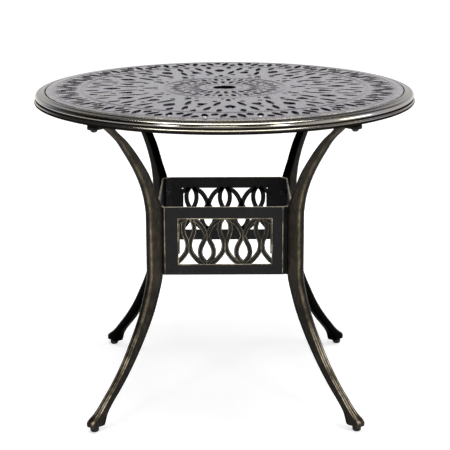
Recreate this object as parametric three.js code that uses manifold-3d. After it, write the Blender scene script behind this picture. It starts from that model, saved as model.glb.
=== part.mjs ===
// Round cast-aluminium patio table with an umbrella hole.
// Millimetres, +Z up. The origin is on the floor under the umbrella hole, and the front is -Y.
import * as THREE from 'three';
import { mergeVertices } from 'three/addons/utils/BufferGeometryUtils.js';
import Module from 'manifold-3d';

const wasm = await Module();
wasm.setup();

// Fits
const gap = 0.3; // between faces that touch
const overrun = 3; // how far a cut runs past the face it opens
const weldDistance = 0.0001;

// Table as a whole
const topHeight = 751;
const rimRadius = 450;

// Rim: a moulded ring with an inner ledge
const rimWidth = 25; // from the open line to the rim's outside
const grooveWidth = 2.6; // open line between lattice and rim
const lipWidth = 4.5;
const lipDrop = 1.6; // the lip lies this far below the lattice's top
const rollRadius = 8.5;
const rollDrop = 14; // from the lattice's top to the roll's centre
const beadRadius = 3.4;
const beadDrop = 24.4;
const beadInset = 0.8;
const rimDepth = 32; // from the lattice's top to the rim's underside
const rimWall = 5;
const ledgeWidth = 22;
const ledgeThickness = 7;
const roundSteps = 60;

// Lattice
const discRadius = rimRadius - rimWidth - grooveWidth;
const discThickness = 7;
const holeRadius = 28; // umbrella hole
const holeSteps = 24;
const bossWall = 7;
const bossDepth = 16; // below the lattice

// Zones of the lattice, from the centre out, with plain rings between them
const hubRing = 25; // between the boss and the drops
const dropLength = 26;
const collarRing = 16; // between the drops and the petals
const petalLength = 30;
const fieldRing = 18; // inside the main field, and outside it
const bandDepth = 55;
const borderRing = 19.4; // between the band and the lattice's edge
const patternTurnShare = 0.0075; // of a full turn
const petals = 24;
const motifs = 12;
const bandUnits = 30;
const dropWidth = 8;
const petalWidth = 13;

// Screws that hold the lattice down
const latticeScrews = 8;
const screwRadius = 2.5;
const screwBite = 4.5; // length inside the lattice
const screwHeadRadius = 4.5;
const screwHeadHeight = 2.6;
const smallSteps = 8;

// Legs
const waistReach = 234.3; // centre of the leg's straight part, along the diagonal
const waistDepth = 41.1; // inner face to outer face
const legWidth = 21;
const legEdge = 5; // chamfer along the leg
const footInset = 23; // from below the rim's outside to the middle of the glide, along the diagonal
const heelInset = 3.5; // from the glide's middle back to the foot's
const ankleHeight = 83; // where the leg is narrowest
const padTop = 712.5;
const padThickness = 8;
const padRadius = 15;
const padTail = 46;
const padOverlap = 12; // how far the leg's curve runs on under the pad's tail
const padSteps = 5;
const lugRadius = 14;
const boltInset = 45; // from the rim's outside to the leg bolt

// Leg bolts
const boltRadius = 4;
const boltBite = 20; // length inside the rim's lug
const boltHeadRadius = 7.5;
const boltHeadHeight = 4.6;
const washerRadius = 9;
const washerThickness = 1.6;
const holeClearance = 0.4; // a bolt's shank in a plain or tapped hole

// Side panels
const panelStep = 7.07; // how far the panel stands out past the corner of the flange that lies on the leg
const panelBottom = 332.7;
const panelHeight = 163.5;
const panelThickness = 5;
const flangeThickness = 4;
const lapMargin = 9.5; // flange beyond the leg's middle, where it lies on the leg
const lapMarginOver = 5.5; // the same for the flange that lies on top
const stileWidth = 28.8; // from the window to the nearer bend
const windowDrop = 28; // from the panel's top to its window
const windowRise = 25.5; // from the panel's bottom to its window
const arches = 5;
const archPitchShare = 0.1943; // from one column of arches to the next, as a share of the window's width

// Panel bolts
const panelBoltRadius = 2.5;
const panelBoltBite = 13;
const panelBoltHeadRadius = 4.6;
const panelBoltHeadHeight = 3;
const panelWasherRadius = 5;
const panelWasherThickness = 1;
const panelBoltEdge = 38; // from the panel's top or bottom to its bolt

// Levelling glides
const glideHeight = 12;
const glideRadius = 10.2;
const glideFlat = 5.5; // radius of the part that stands on the floor
const glideEdge = 1.6;
const glideSocket = 8;
const studRadius = 4;
const studLength = 26;
const insertRadius = 6.5;
const insertLength = 16;
const footSteps = 12;

// Materials
function finish(color, roughness, metalness) {
  return new THREE.MeshStandardMaterial({ color, roughness, metalness });
}
const bronze = finish('#3a3734', 0.4, 0.3);
const rimBronze = finish('#57503f', 0.3, 0.4);
const blackSteel = finish('#1d1c1c', 0.5, 0.4);
const zinc = finish('#9a9b9c', 0.35, 0.9);
const blackPlastic = finish('#141414', 0.6, 0);

const table = new THREE.Group();

// A closed solid from a three.js geometry
function solid(geometry) {
  const plain = geometry.clone();
  plain.deleteAttribute('normal');
  plain.deleteAttribute('uv');
  const welded = mergeVertices(plain, weldDistance);
  const index = [];
  for (let i = 0; i < welded.index.count; i += 3) {
    const corner = [0, 1, 2].map((k) => welded.index.getX(i + k));
    if (new Set(corner).size === 3) index.push(...corner);
  }
  return new wasm.Manifold(new wasm.Mesh({
    numProp: 3,
    vertProperties: new Float32Array(welded.attributes.position.array),
    triVerts: new Uint32Array(index),
  }));
}

// A three.js geometry from a solid
function geometryOf(body) {
  const mesh = body.getMesh();
  const geometry = new THREE.BufferGeometry();
  geometry.setAttribute('position', new THREE.BufferAttribute(new Float32Array(mesh.vertProperties), 3));
  geometry.setIndex(new THREE.BufferAttribute(new Uint32Array(mesh.triVerts), 1));
  geometry.computeVertexNormals();
  return geometry;
}

function place(name, body, material, parent = table) {
  const mesh = new THREE.Mesh(geometryOf(body), material);
  mesh.name = name;
  parent.add(mesh);
  return mesh;
}

// A turned solid: the profile lists [radius, height] pairs round a closed outline
function turned(profile, steps) {
  const points = [...profile, profile[0]].map(([r, z]) => new THREE.Vector2(r, z));
  return solid(new THREE.LatheGeometry(points, steps).rotateX(Math.PI / 2));
}

// A solid cylinder along +Z, with its bottom centre at the given place
function rod(radius, length, x, y, bottom, steps = smallSteps) {
  const geometry = new THREE.CylinderGeometry(radius, radius, length, steps).rotateX(Math.PI / 2);
  return solid(geometry.translate(x, y, bottom + length / 2));
}

// A plate of the given outline, or of several apart from each other, that stands up from a height
function plate(shapes, thickness, bottom) {
  const geometry = new THREE.ExtrudeGeometry(shapes, { depth: thickness, bevelEnabled: false });
  return solid(geometry.translate(0, 0, bottom));
}

function polar(radius, angle) {
  return new THREE.Vector2(radius * Math.cos(angle), radius * Math.sin(angle));
}

// TOP LATTICE
const discBottom = topHeight - discThickness;
const bossOuter = holeRadius + bossWall;

// The zone that starts at a radius, and the one that ends there
const zoneOut = (from, length) => ({ from, to: from + length });
const zoneIn = (to, length) => ({ from: to - length, to });
const dropZone = zoneOut(bossOuter + hubRing, dropLength);
const petalZone = zoneOut(dropZone.to + collarRing, petalLength);
const bandZone = zoneIn(discRadius - borderRing, bandDepth);
const fieldZone = { from: petalZone.to + fieldRing, to: bandZone.from - fieldRing };

// A four-sided opening between two tips, each [radius, angle], widest at a share of its length
function lozenge(inner, outer, width, widestShare = 0.5) {
  const a = polar(...inner);
  const b = polar(...outer);
  const along = b.clone().sub(a);
  const middle = a.clone().addScaledVector(along, widestShare);
  const side = new THREE.Vector2(-along.y, along.x).setLength(width / 2);
  return [a, middle.clone().sub(side), b, middle.clone().add(side)];
}

// A three-sided opening on one radius: its base is at the first radius and its point at the second
function dart(base, point, angle, width) {
  const foot = polar(base, angle);
  const side = polar(width / 2, angle + Math.PI / 2);
  return [foot.clone().sub(side), polar(point, angle), foot.clone().add(side)];
}

function inZone(zone, share) {
  return zone.from + (zone.to - zone.from) * share;
}

// One motif of the main field. Radii are shares of the zone and angles are shares of half a motif.
const fieldSlotShares = [
  { inner: [0.3, 0.36], outer: [0.59, 0.51] },
  { inner: [0.69, 0.63], outer: [0.93, 0.72] },
];
const fieldEyeShare = [0.1, 0.23];
const fieldKiteShare = [0.53, 0.77];
const fieldKiteWidestShare = 0.53;
const fieldTwinShare = { from: 0.84, to: 0.99, aside: 0.32 };
const fieldShieldShare = [0.43, 0.62];
const fieldCornerShare = [0.975, 0.86];
const fieldEyeWidth = 9;
const fieldKiteWidth = 23;
const fieldTwinWidth = 10.5;
const fieldSlotWidth = 8;
const fieldShieldWidth = 24;
const fieldCornerWidth = 13;

function fieldMotif(axis) {
  const half = Math.PI / motifs;
  const r = (share) => inZone(fieldZone, share);
  const openings = [
    lozenge([r(fieldEyeShare[0]), axis], [r(fieldEyeShare[1]), axis], fieldEyeWidth),
    lozenge([r(fieldKiteShare[0]), axis], [r(fieldKiteShare[1]), axis], fieldKiteWidth, fieldKiteWidestShare),
    dart(r(fieldShieldShare[0]), r(fieldShieldShare[1]), axis + half, fieldShieldWidth),
    dart(r(fieldCornerShare[0]), r(fieldCornerShare[1]), axis + half, fieldCornerWidth),
  ];
  for (const side of [-1, 1]) {
    const twin = axis + side * half * fieldTwinShare.aside;
    openings.push(lozenge([r(fieldTwinShare.from), twin], [r(fieldTwinShare.to), twin], fieldTwinWidth));
    for (const { inner, outer } of fieldSlotShares) {
      const from = [r(inner[0]), axis + side * half * inner[1]];
      const to = [r(outer[0]), axis + side * half * outer[1]];
      openings.push(lozenge(from, to, fieldSlotWidth));
    }
  }
  return openings;
}

// One unit of the outer band: a low eye, a high eye half a unit on, and two slanted slots
const bandLowShare = [0.04, 0.44];
const bandHighShare = [0.55, 0.98];
const bandSlotShare = { from: 0.1, to: 0.9, wide: 0.65, narrow: 0.38 };
const bandEyeWidth = 13;
const bandSlotWidth = 11;

function bandUnit(axis) {
  const half = Math.PI / bandUnits;
  const r = (share) => inZone(bandZone, share);
  const openings = [
    lozenge([r(bandLowShare[0]), axis], [r(bandLowShare[1]), axis], bandEyeWidth),
    lozenge([r(bandHighShare[0]), axis + half], [r(bandHighShare[1]), axis + half], bandEyeWidth),
  ];
  for (const side of [-1, 1]) {
    const from = [r(bandSlotShare.from), axis + side * half * bandSlotShare.wide];
    const to = [r(bandSlotShare.to), axis + side * half * bandSlotShare.narrow];
    openings.push(lozenge(from, to, bandSlotWidth));
  }
  return openings;
}

function repeated(count, unit) {
  return Array.from({ length: count }, (_, i) => unit((patternTurnShare + i / count) * 2 * Math.PI)).flat();
}

function circle(radius, steps) {
  return Array.from({ length: steps }, (_, i) => polar(radius, (i * 2 * Math.PI) / steps));
}

const openings = [
  ...repeated(petals, (a) => [lozenge([dropZone.from, a], [dropZone.to, a], dropWidth)]),
  ...repeated(petals, (a) => {
    const between = a + Math.PI / petals;
    return [lozenge([petalZone.from, between], [petalZone.to, between], petalWidth)];
  }),
  ...repeated(motifs, fieldMotif),
  ...repeated(bandUnits, bandUnit),
];
openings.push(circle(holeRadius, holeSteps));

const boss = turned([
  [holeRadius, discBottom - bossDepth],
  [bossOuter, discBottom - bossDepth],
  [bossOuter, discBottom + discThickness / 2],
  [holeRadius, discBottom + discThickness / 2],
], holeSteps);
const screwCircle = discRadius - (ledgeWidth - grooveWidth) / 2;
const screwPlaces = Array.from({ length: latticeScrews }, (_, i) =>
  polar(screwCircle, ((i + 0.5) * 2 * Math.PI) / latticeScrews));
const underside = discBottom - overrun;

const openingShapes = openings.map((points) => new THREE.Shape(points));
const disc = plate(new THREE.Shape(circle(discRadius, roundSteps)), discThickness, discBottom);
let lattice = disc.subtract(plate(openingShapes, discThickness + 2 * overrun, underside)).add(boss);
for (const { x, y } of screwPlaces) {
  const depth = screwBite + gap + overrun;
  lattice = lattice.subtract(rod(screwRadius + holeClearance, depth, x, y, underside));
}
place('top_lattice', lattice, bronze);

// TOP RIM
const grooveRadius = discRadius + grooveWidth;
const lipTop = topHeight - lipDrop;
const ledgeTop = discBottom - gap;
const ledgeBottom = ledgeTop - ledgeThickness;
const rimBottom = topHeight - rimDepth;
const rollCentre = new THREE.Vector2(rimRadius - rollRadius, topHeight - rollDrop);
const beadCentre = new THREE.Vector2(rimRadius - beadInset - beadRadius, topHeight - beadDrop);

// Points on a circle, between two shares of a half turn
function arc(centre, radius, [fromShare, toShare], steps) {
  return Array.from({ length: steps + 1 }, (_, i) => {
    const angle = THREE.MathUtils.lerp(fromShare, toShare, i / steps) * Math.PI;
    return [centre.x + radius * Math.cos(angle), centre.y + radius * Math.sin(angle)];
  });
}
const beadArcShare = [-0.44, 0.33];
const beadSteps = 2;
const rollArcShare = [-0.14, 0.44];
const rollSteps = 4;

const rimProfile = [
  [grooveRadius, ledgeTop],
  [grooveRadius - ledgeWidth, ledgeTop],
  [grooveRadius - ledgeWidth, ledgeBottom],
  [grooveRadius, ledgeBottom],
  [rimRadius - rimWall - beadInset - beadRadius, rimBottom],
  ...arc(beadCentre, beadRadius, beadArcShare, beadSteps),
  ...arc(rollCentre, rollRadius, rollArcShare, rollSteps),
  [grooveRadius + lipWidth, lipTop],
  [grooveRadius, lipTop],
];
let rim = turned(rimProfile, roundSteps);
const lugBottom = padTop + gap;
const lugHeight = ledgeTop - ledgeThickness / 2 - lugBottom;
const boltReach = rimRadius - boltInset;

// Where the four corners lie, as shares of a full turn from +X
const cornerShares = { front_left: -0.375, front_right: -0.125, back_right: 0.125, back_left: 0.375 };
const turnOf = (share) => share * 2 * Math.PI;
for (const share of Object.values(cornerShares)) {
  const { x, y } = polar(boltReach, turnOf(share));
  rim = rim.add(rod(lugRadius, lugHeight, x, y, lugBottom, footSteps));
  const depth = boltBite + gap + overrun;
  rim = rim.subtract(rod(boltRadius + holeClearance, depth, x, y, lugBottom - overrun));
}
for (const { x, y } of screwPlaces) {
  const through = ledgeThickness + 2 * overrun;
  rim = rim.subtract(rod(screwRadius + holeClearance, through, x, y, ledgeBottom - overrun));
}
place('top_rim', rim, rimBronze);

// LATTICE SCREWS
// A screw or bolt that points up: a flat head under its shank
function upwardBolt(radius, length, headRadius, headHeight, headBottom) {
  return turned([
    [0, headBottom],
    [headRadius, headBottom],
    [headRadius, headBottom + headHeight],
    [radius, headBottom + headHeight],
    [radius, headBottom + headHeight + length],
    [0, headBottom + headHeight + length],
  ], smallSteps);
}

const screwHeadBottom = ledgeBottom - gap - screwHeadHeight;
const screwLength = discBottom + screwBite - screwHeadBottom - screwHeadHeight;
screwPlaces.forEach(({ x, y }, i) => {
  const screw = upwardBolt(screwRadius, screwLength, screwHeadRadius, screwHeadHeight, screwHeadBottom);
  place(`lattice_screw_${i + 1}`, screw, zinc).position.set(x, y, 0);
});

// LEGS
// Each leg is drawn in its own upright plane: x runs outwards along the diagonal.
const footBottom = glideHeight + gap;
const panelTop = panelBottom + panelHeight;
const waistInner = waistReach - waistDepth / 2;
const topReach = boltReach - padTail + padOverlap;
const footReach = rimRadius - footInset;
const heelReach = footReach - heelInset;

// From the waist to the pad and to the foot: share of the height, of the reach and of the waist's depth
const upperShares = [
  [0.0, 0.0059, 1.0414], [0.065, 0.0337, 0.9416], [0.163, 0.0892, 0.8029], [0.2529, 0.1419, 0.764],
  [0.3971, 0.2436, 0.7543], [0.537, 0.3775, 0.691], [0.6811, 0.5362, 0.6375], [0.8205, 0.7118, 0.5304],
  [0.9402, 0.9144, 0.5182], [1.0, 1.0, 0.6715],
];
const lowerShares = [
  [0.0, 0.0, 1.0], [0.0821, 0.0328, 0.9805], [0.1679, 0.0806, 0.9635], [0.2541, 0.1358, 0.944],
  [0.3589, 0.2212, 0.9075], [0.4688, 0.3266, 0.8808], [0.574, 0.4376, 0.8224], [0.6788, 0.5661, 0.7981],
  [0.7793, 0.7088, 0.7956], [0.8293, 0.7891, 0.7762], [0.8748, 0.8605, 0.7616],
  [0.9198, 0.9286, 0.8394], [0.9635, 0.9905, 1.0998], [1.0, 1.0, 0.9246],
];

function legStation([heightShare, reachShare, depthShare], fromHeight, toHeight, toReach, side) {
  const height = THREE.MathUtils.lerp(fromHeight, toHeight, heightShare);
  const reach = THREE.MathUtils.lerp(waistReach, toReach, reachShare);
  return new THREE.Vector2(reach + (side * waistDepth * depthShare) / 2, height);
}
const padMiddle = padTop - padThickness / 2;
const legUpper = (side) => upperShares.map((s) => legStation(s, panelTop, padMiddle, topReach, side));
const legLower = (side) => lowerShares.map((s) => legStation(s, panelBottom, footBottom, heelReach, side));

const legShape = new THREE.Shape();
const outerUpper = legUpper(1).reverse();
const innerLower = legLower(-1).reverse();
const stationSteps = 1; // straight from one station to the next
legShape.moveTo(outerUpper[0].x, outerUpper[0].y);
legShape.splineThru(outerUpper.slice(1));
legShape.lineTo(legLower(1)[0].x, legLower(1)[0].y);
legShape.splineThru(legLower(1).slice(1));
legShape.lineTo(innerLower[0].x, innerLower[0].y);
legShape.splineThru(innerLower.slice(1));
legShape.lineTo(waistInner, panelTop);
legShape.splineThru(legUpper(-1).slice(1));
legShape.closePath();

// The leg narrows from its waist to the ankle and widens again to the foot
const ankleWidthShare = 0.857;
const footWidthShare = 1.14;
const legBlank = new THREE.ExtrudeGeometry(legShape, {
  depth: legWidth - 2 * legEdge,
  curveSegments: stationSteps,
  bevelThickness: legEdge,
  bevelSize: legEdge,
  bevelOffset: -legEdge,
  bevelSegments: 1,
});
legBlank.translate(0, 0, legEdge - legWidth / 2).rotateX(Math.PI / 2);
const blankPlaces = legBlank.attributes.position;
for (let i = 0; i < blankPlaces.count; i += 1) {
  const drop = panelBottom - blankPlaces.getZ(i);
  const below = THREE.MathUtils.clamp(drop / (panelBottom - ankleHeight), 0, 1);
  const spread = THREE.MathUtils.clamp((ankleHeight - blankPlaces.getZ(i)) / (ankleHeight - footBottom), 0, 1);
  const share = THREE.MathUtils.lerp(1, ankleWidthShare, below) + (footWidthShare - ankleWidthShare) * spread;
  blankPlaces.setY(i, blankPlaces.getY(i) * share);
}

// Pad under the rim's lug, with a tail that runs into the leg
const padShape = new THREE.Shape();
padShape.moveTo(boltReach - padTail, -legWidth / 2);
padShape.lineTo(boltReach, -padRadius);
padShape.absarc(boltReach, 0, padRadius, -Math.PI / 2, Math.PI / 2);
padShape.lineTo(boltReach - padTail, legWidth / 2);
padShape.closePath();
const padBottom = padTop - padThickness;
const padBlank = new THREE.ExtrudeGeometry(padShape, {
  depth: padThickness,
  bevelEnabled: false,
  curveSegments: padSteps,
});
const pad = solid(padBlank.translate(0, 0, padBottom));

const panelBoltHeights = [panelBottom + panelBoltEdge, panelTop - panelBoltEdge];
const boreTop = footBottom + studLength - glideSocket + overrun;

// A cylinder along +X from a place on the diagonal
function outwardRod(radius, length, from, height) {
  const geometry = new THREE.CylinderGeometry(radius, radius, length, smallSteps).rotateZ(Math.PI / 2);
  return solid(geometry.translate(from + length / 2, 0, height));
}

const padHoleDepth = padThickness + 2 * overrun;
const padHole = rod(boltRadius + holeClearance, padHoleDepth, boltReach, 0, padBottom - overrun);
const insertDepth = insertLength + gap + overrun;
const insertHole = rod(insertRadius + gap, insertDepth, footReach, 0, footBottom - overrun, footSteps);
const studHole = rod(studRadius + holeClearance, boreTop - footBottom, footReach, 0, footBottom);
let leg = solid(legBlank).add(pad).subtract(padHole).subtract(insertHole).subtract(studHole);
for (const height of panelBoltHeights) {
  const depth = panelBoltBite + gap + overrun;
  leg = leg.subtract(outwardRod(panelBoltRadius + holeClearance, depth, waistInner - overrun, height));
}

// SIDE PANELS
// Drawn as the front panel. Its left flange lies on the leg and its right flange lies on its neighbour's.
const flangeUnder = waistInner - gap; // reach of the outer surface of the flange on the leg
const flangeOver = flangeUnder - flangeThickness - gap;
const panelReach = flangeUnder / Math.SQRT2 + panelStep; // centre to the panel's outer face
const panelInside = panelReach - panelThickness;
const windowHeight = panelHeight - windowDrop - windowRise;
const windowMiddle = panelBottom + windowRise + windowHeight / 2;

function panelPlan(side, flangeReach, margin) {
  const bend = flangeReach * Math.SQRT2 - panelReach;
  const onDiagonal = flangeReach / Math.SQRT2;
  const along = margin / Math.SQRT2;
  const thick = flangeThickness / Math.SQRT2;
  const inner = (flangeReach - flangeThickness) * Math.SQRT2 - panelInside;
  const root = bend - 2 * panelThickness;
  const points = [
    [root, -panelReach],
    [bend, -panelReach],
    [onDiagonal + along, -onDiagonal + along],
    [onDiagonal + along - thick, -onDiagonal + along + thick],
    [inner, -panelInside],
    [root, -panelInside],
  ].map(([x, y]) => new THREE.Vector2(side * x, y));
  return { bend, shape: new THREE.Shape(side > 0 ? points : points.reverse()) };
}
const leftFlange = panelPlan(-1, flangeUnder, lapMargin);
const rightFlange = panelPlan(1, flangeOver, lapMarginOver);

const leftEdge = -leftFlange.bend + panelThickness;
const rightEdge = rightFlange.bend - panelThickness;
const windowWidth = 2 * (Math.min(leftFlange.bend, rightFlange.bend) - stileWidth);
const archPitch = windowWidth * archPitchShare;

// Openings between the bars. Widths are shares of the pitch and heights are shares of half the window.
const almondShares = [
  [0, 0.02],
  [0.2, 0.27],
  [0.21, 0.5],
  [0.12, 0.82],
  [-0.12, 0.82],
  [-0.21, 0.5],
  [-0.2, 0.27],
];
const tentShares = [[0, 0.38], [0.38, 0.92], [-0.38, 0.92]];
const eyeShares = [[-0.2, 0.52], [0.0, 0.3], [0.22, 0.0], [0.2, -0.52], [0.0, -0.3], [-0.22, 0.0]];

// The window's opening, column by column: shares to points, turned over where the column is an odd one
function panelOpening(shares, column, flip, mirror = 1) {
  return new THREE.Shape(shares.map(([across, down]) => new THREE.Vector2(
    THREE.MathUtils.clamp((column + mirror * across) * archPitch, -windowWidth / 2, windowWidth / 2),
    windowMiddle - (flip * down * windowHeight) / 2,
  )));
}

// A plate that stands across the front, from a depth towards -Y
function standingPlate(shapes, thickness, depth) {
  const geometry = new THREE.ExtrudeGeometry(shapes, { depth: thickness, bevelEnabled: false });
  return solid(geometry.rotateX(Math.PI / 2).translate(0, -depth, 0));
}

const panelShape = new THREE.Shape([
  new THREE.Vector2(leftEdge, panelBottom),
  new THREE.Vector2(rightEdge, panelBottom),
  new THREE.Vector2(rightEdge, panelTop),
  new THREE.Vector2(leftEdge, panelTop),
]);
const panelOpenings = [];
const archColumns = Array.from({ length: arches }, (_, i) => i - (arches - 1) / 2);
for (const column of archColumns) {
  const flip = column % 2 === 0 ? -1 : 1;
  panelOpenings.push(panelOpening(almondShares, column, flip));
  panelOpenings.push(panelOpening(tentShares, column, -flip));
}
for (const column of [archColumns[0] - 1, ...archColumns]) {
  const mirror = column % 2 === 0 ? 1 : -1;
  panelOpenings.push(panelOpening(eyeShares, column + 0.5, 1, mirror));
}
let panel = standingPlate(panelShape, panelThickness, panelInside)
  .subtract(standingPlate(panelOpenings, panelThickness + 2 * overrun, panelInside - overrun));
for (const { shape } of [leftFlange, rightFlange]) panel = panel.add(plate(shape, panelHeight, panelBottom));
for (const height of panelBoltHeights) {
  for (const share of [cornerShares.front_left, cornerShares.front_right]) {
    const hole = outwardRod(panelBoltRadius + holeClearance, waistReach - panelInside, panelInside, height);
    panel = panel.subtract(hole.rotate([0, 0, THREE.MathUtils.radToDeg(turnOf(share))]));
  }
}
['front', 'right', 'back', 'left'].forEach((name, i) => {
  place(`panel_${name}`, panel, bronze).rotation.z = (i * Math.PI) / 2;
});

// FASTENERS AND GLIDES OF ONE CORNER
const legBoltHeadBottom = padBottom - 2 * gap - washerThickness - boltHeadHeight;
const legBoltLength = lugBottom + boltBite - legBoltHeadBottom - boltHeadHeight;
const legBolt = upwardBolt(boltRadius, legBoltLength, boltHeadRadius, boltHeadHeight, legBoltHeadBottom);

function ring(outer, inner, thickness, bottom) {
  const top = bottom + thickness;
  return turned([[inner, bottom], [outer, bottom], [outer, top], [inner, top]], smallSteps);
}
const legWasher = ring(washerRadius, boltRadius + holeClearance, washerThickness,
  padBottom - gap - washerThickness);

// The panel bolts lie along +X, from inside the panels out into the leg
const washerFace = flangeOver - flangeThickness - gap;
const panelBoltHeadFace = washerFace - panelWasherThickness - gap;
const panelBoltLength = waistInner + panelBoltBite - panelBoltHeadFace;
const panelBolt = upwardBolt(panelBoltRadius, panelBoltLength, panelBoltHeadRadius, panelBoltHeadHeight,
  -panelBoltHeadHeight).rotate([0, 90, 0]);
const panelWasher = ring(panelWasherRadius, panelBoltRadius + holeClearance, panelWasherThickness,
  -panelWasherThickness).rotate([0, 90, 0]);

const insert = ring(insertRadius, studRadius + holeClearance, insertLength, footBottom);
const studBottom = glideHeight - glideSocket;
const stud = rod(studRadius, studLength, 0, 0, studBottom);
const glideBase = turned([
  [0, 0],
  [glideFlat, 0],
  [glideRadius - glideEdge, glideEdge],
  [glideRadius, glideHeight / 2],
  [glideRadius, glideHeight - glideEdge],
  [glideRadius - glideEdge, glideHeight],
  [studRadius + gap, glideHeight],
  [studRadius + gap, studBottom - gap],
  [0, studBottom - gap],
], footSteps);

for (const [name, share] of Object.entries(cornerShares)) {
  const corner = new THREE.Group();
  corner.rotation.z = turnOf(share);
  table.add(corner);
  place(`leg_${name}`, leg, bronze, corner);
  place(`leg_bolt_${name}`, legBolt, blackSteel, corner).position.x = boltReach;
  place(`leg_washer_${name}`, legWasher, blackSteel, corner).position.x = boltReach;
  ['lower', 'upper'].forEach((level, i) => {
    const height = panelBoltHeights[i];
    const bolt = place(`panel_bolt_${name}_${level}`, panelBolt, blackSteel, corner);
    bolt.position.set(panelBoltHeadFace, 0, height);
    place(`panel_washer_${name}_${level}`, panelWasher, zinc, corner).position.set(washerFace, 0, height);
  });
  place(`foot_insert_${name}`, insert, zinc, corner).position.x = footReach;
  place(`glide_stud_${name}`, stud, zinc, corner).position.x = footReach;
  place(`glide_base_${name}`, glideBase, blackPlastic, corner).position.x = footReach;
}

export default table;
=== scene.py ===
"""Round cast-aluminium patio table with an openwork top and an umbrella hole.

Metres, +Z up. The front is -Y, and the origin is on the floor under the umbrella hole.
Sizes of pieces are written in millimetres, and a Shape turns them into metres.
"""
import math

import bmesh
import bpy
import numpy as np
from mathutils import Matrix, Vector
from mathutils.geometry import delaunay_2d_cdt


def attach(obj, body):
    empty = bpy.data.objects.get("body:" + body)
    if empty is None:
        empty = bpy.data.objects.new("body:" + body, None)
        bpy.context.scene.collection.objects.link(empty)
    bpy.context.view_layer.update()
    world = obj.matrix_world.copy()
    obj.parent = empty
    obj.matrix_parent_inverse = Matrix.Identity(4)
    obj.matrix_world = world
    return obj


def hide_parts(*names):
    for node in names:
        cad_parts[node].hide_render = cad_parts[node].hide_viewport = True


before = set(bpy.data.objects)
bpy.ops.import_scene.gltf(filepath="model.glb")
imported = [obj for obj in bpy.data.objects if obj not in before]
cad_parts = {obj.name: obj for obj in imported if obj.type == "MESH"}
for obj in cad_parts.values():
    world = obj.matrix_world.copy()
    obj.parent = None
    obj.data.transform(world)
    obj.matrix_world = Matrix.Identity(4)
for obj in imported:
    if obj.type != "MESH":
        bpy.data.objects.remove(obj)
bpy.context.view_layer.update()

# CAMERA
# A long lens at chest height, in front of the table and looking a little down on it.
# Its focal length is counted in pixels of a picture 450 wide, and its tilt and roll in degrees.
picture_width, focal_pixels, sensor_width = 450, 1408.2, 36.0
tilt_down, roll = 14.763, -0.21
camera_data = bpy.data.cameras.new("camera")
camera_data.sensor_width = sensor_width
camera_data.lens = focal_pixels / picture_width * sensor_width
camera_data.shift_x = 0.0001
camera = bpy.data.objects.new("camera", camera_data)
camera.location = (0.0, -3.3217, 1.2869)
camera_pitch = Matrix.Rotation(math.radians(90 - tilt_down), 3, "X")
camera_roll = Matrix.Rotation(math.radians(roll), 3, "Z")
camera.rotation_euler = (camera_pitch @ camera_roll).to_euler()
bpy.context.scene.collection.objects.link(camera)
bpy.context.scene.camera = camera

# LEVELLING GLIDES
# Moulded black polyethylene discs under the feet, each on a zinc-plated stud.
# They are turned shapes with a rounded rim, and they slide out of the feet with their studs.
millimetre = 0.001


def linear(code):
    """Turns an sRGB hex code such as 2b2a27 into linear red, green, blue and alpha."""
    values = np.array([int(code[i:i + 2], 16) for i in (0, 2, 4)]) / 255
    low = values / 12.92
    high = ((values + 0.055) / 1.055) ** 2.4
    return (*np.where(values <= 0.04045, low, high).tolist(), 1.0)


def add_node(material, kind, settings=(), links=()):
    """Adds one node: settings give its properties or input values, and links its joined inputs.

    An input goes by its name or its number. A map takes the range from 1 to 2 and gives 3 to 4, and a
    mix has its share at 0, its numbers at 2 and 3, and its colours at 6 and 7.
    """
    tree = material.node_tree
    node = tree.nodes.new(kind)
    for key, value in dict(settings).items():
        if isinstance(key, str) and hasattr(node, key):
            setattr(node, key, value)
        else:
            node.inputs[key].default_value = value
    for key, socket in dict(links).items():
        tree.links.new(socket, node.inputs[key])
    return node


def new_material(name):
    """An empty node material and its output node."""
    material = bpy.data.materials.new(name)
    material.use_nodes = True
    material.node_tree.nodes.clear()
    return material, add_node(material, "ShaderNodeOutputMaterial")


def grid_faces(rows, columns, close_rows=False, close_columns=False):
    """Four-sided faces between neighbours of a grid of points, which may close on itself either way."""
    row = np.arange(rows if close_rows else rows - 1)[:, None]
    column = np.arange(columns if close_columns else columns - 1)[None, :]
    below = (row + 1) % rows
    beside = (column + 1) % columns
    corners = [row * columns + column, below * columns + column]
    corners += [below * columns + beside, row * columns + beside]
    return np.stack(corners, axis=-1).reshape(-1, 4)


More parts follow.
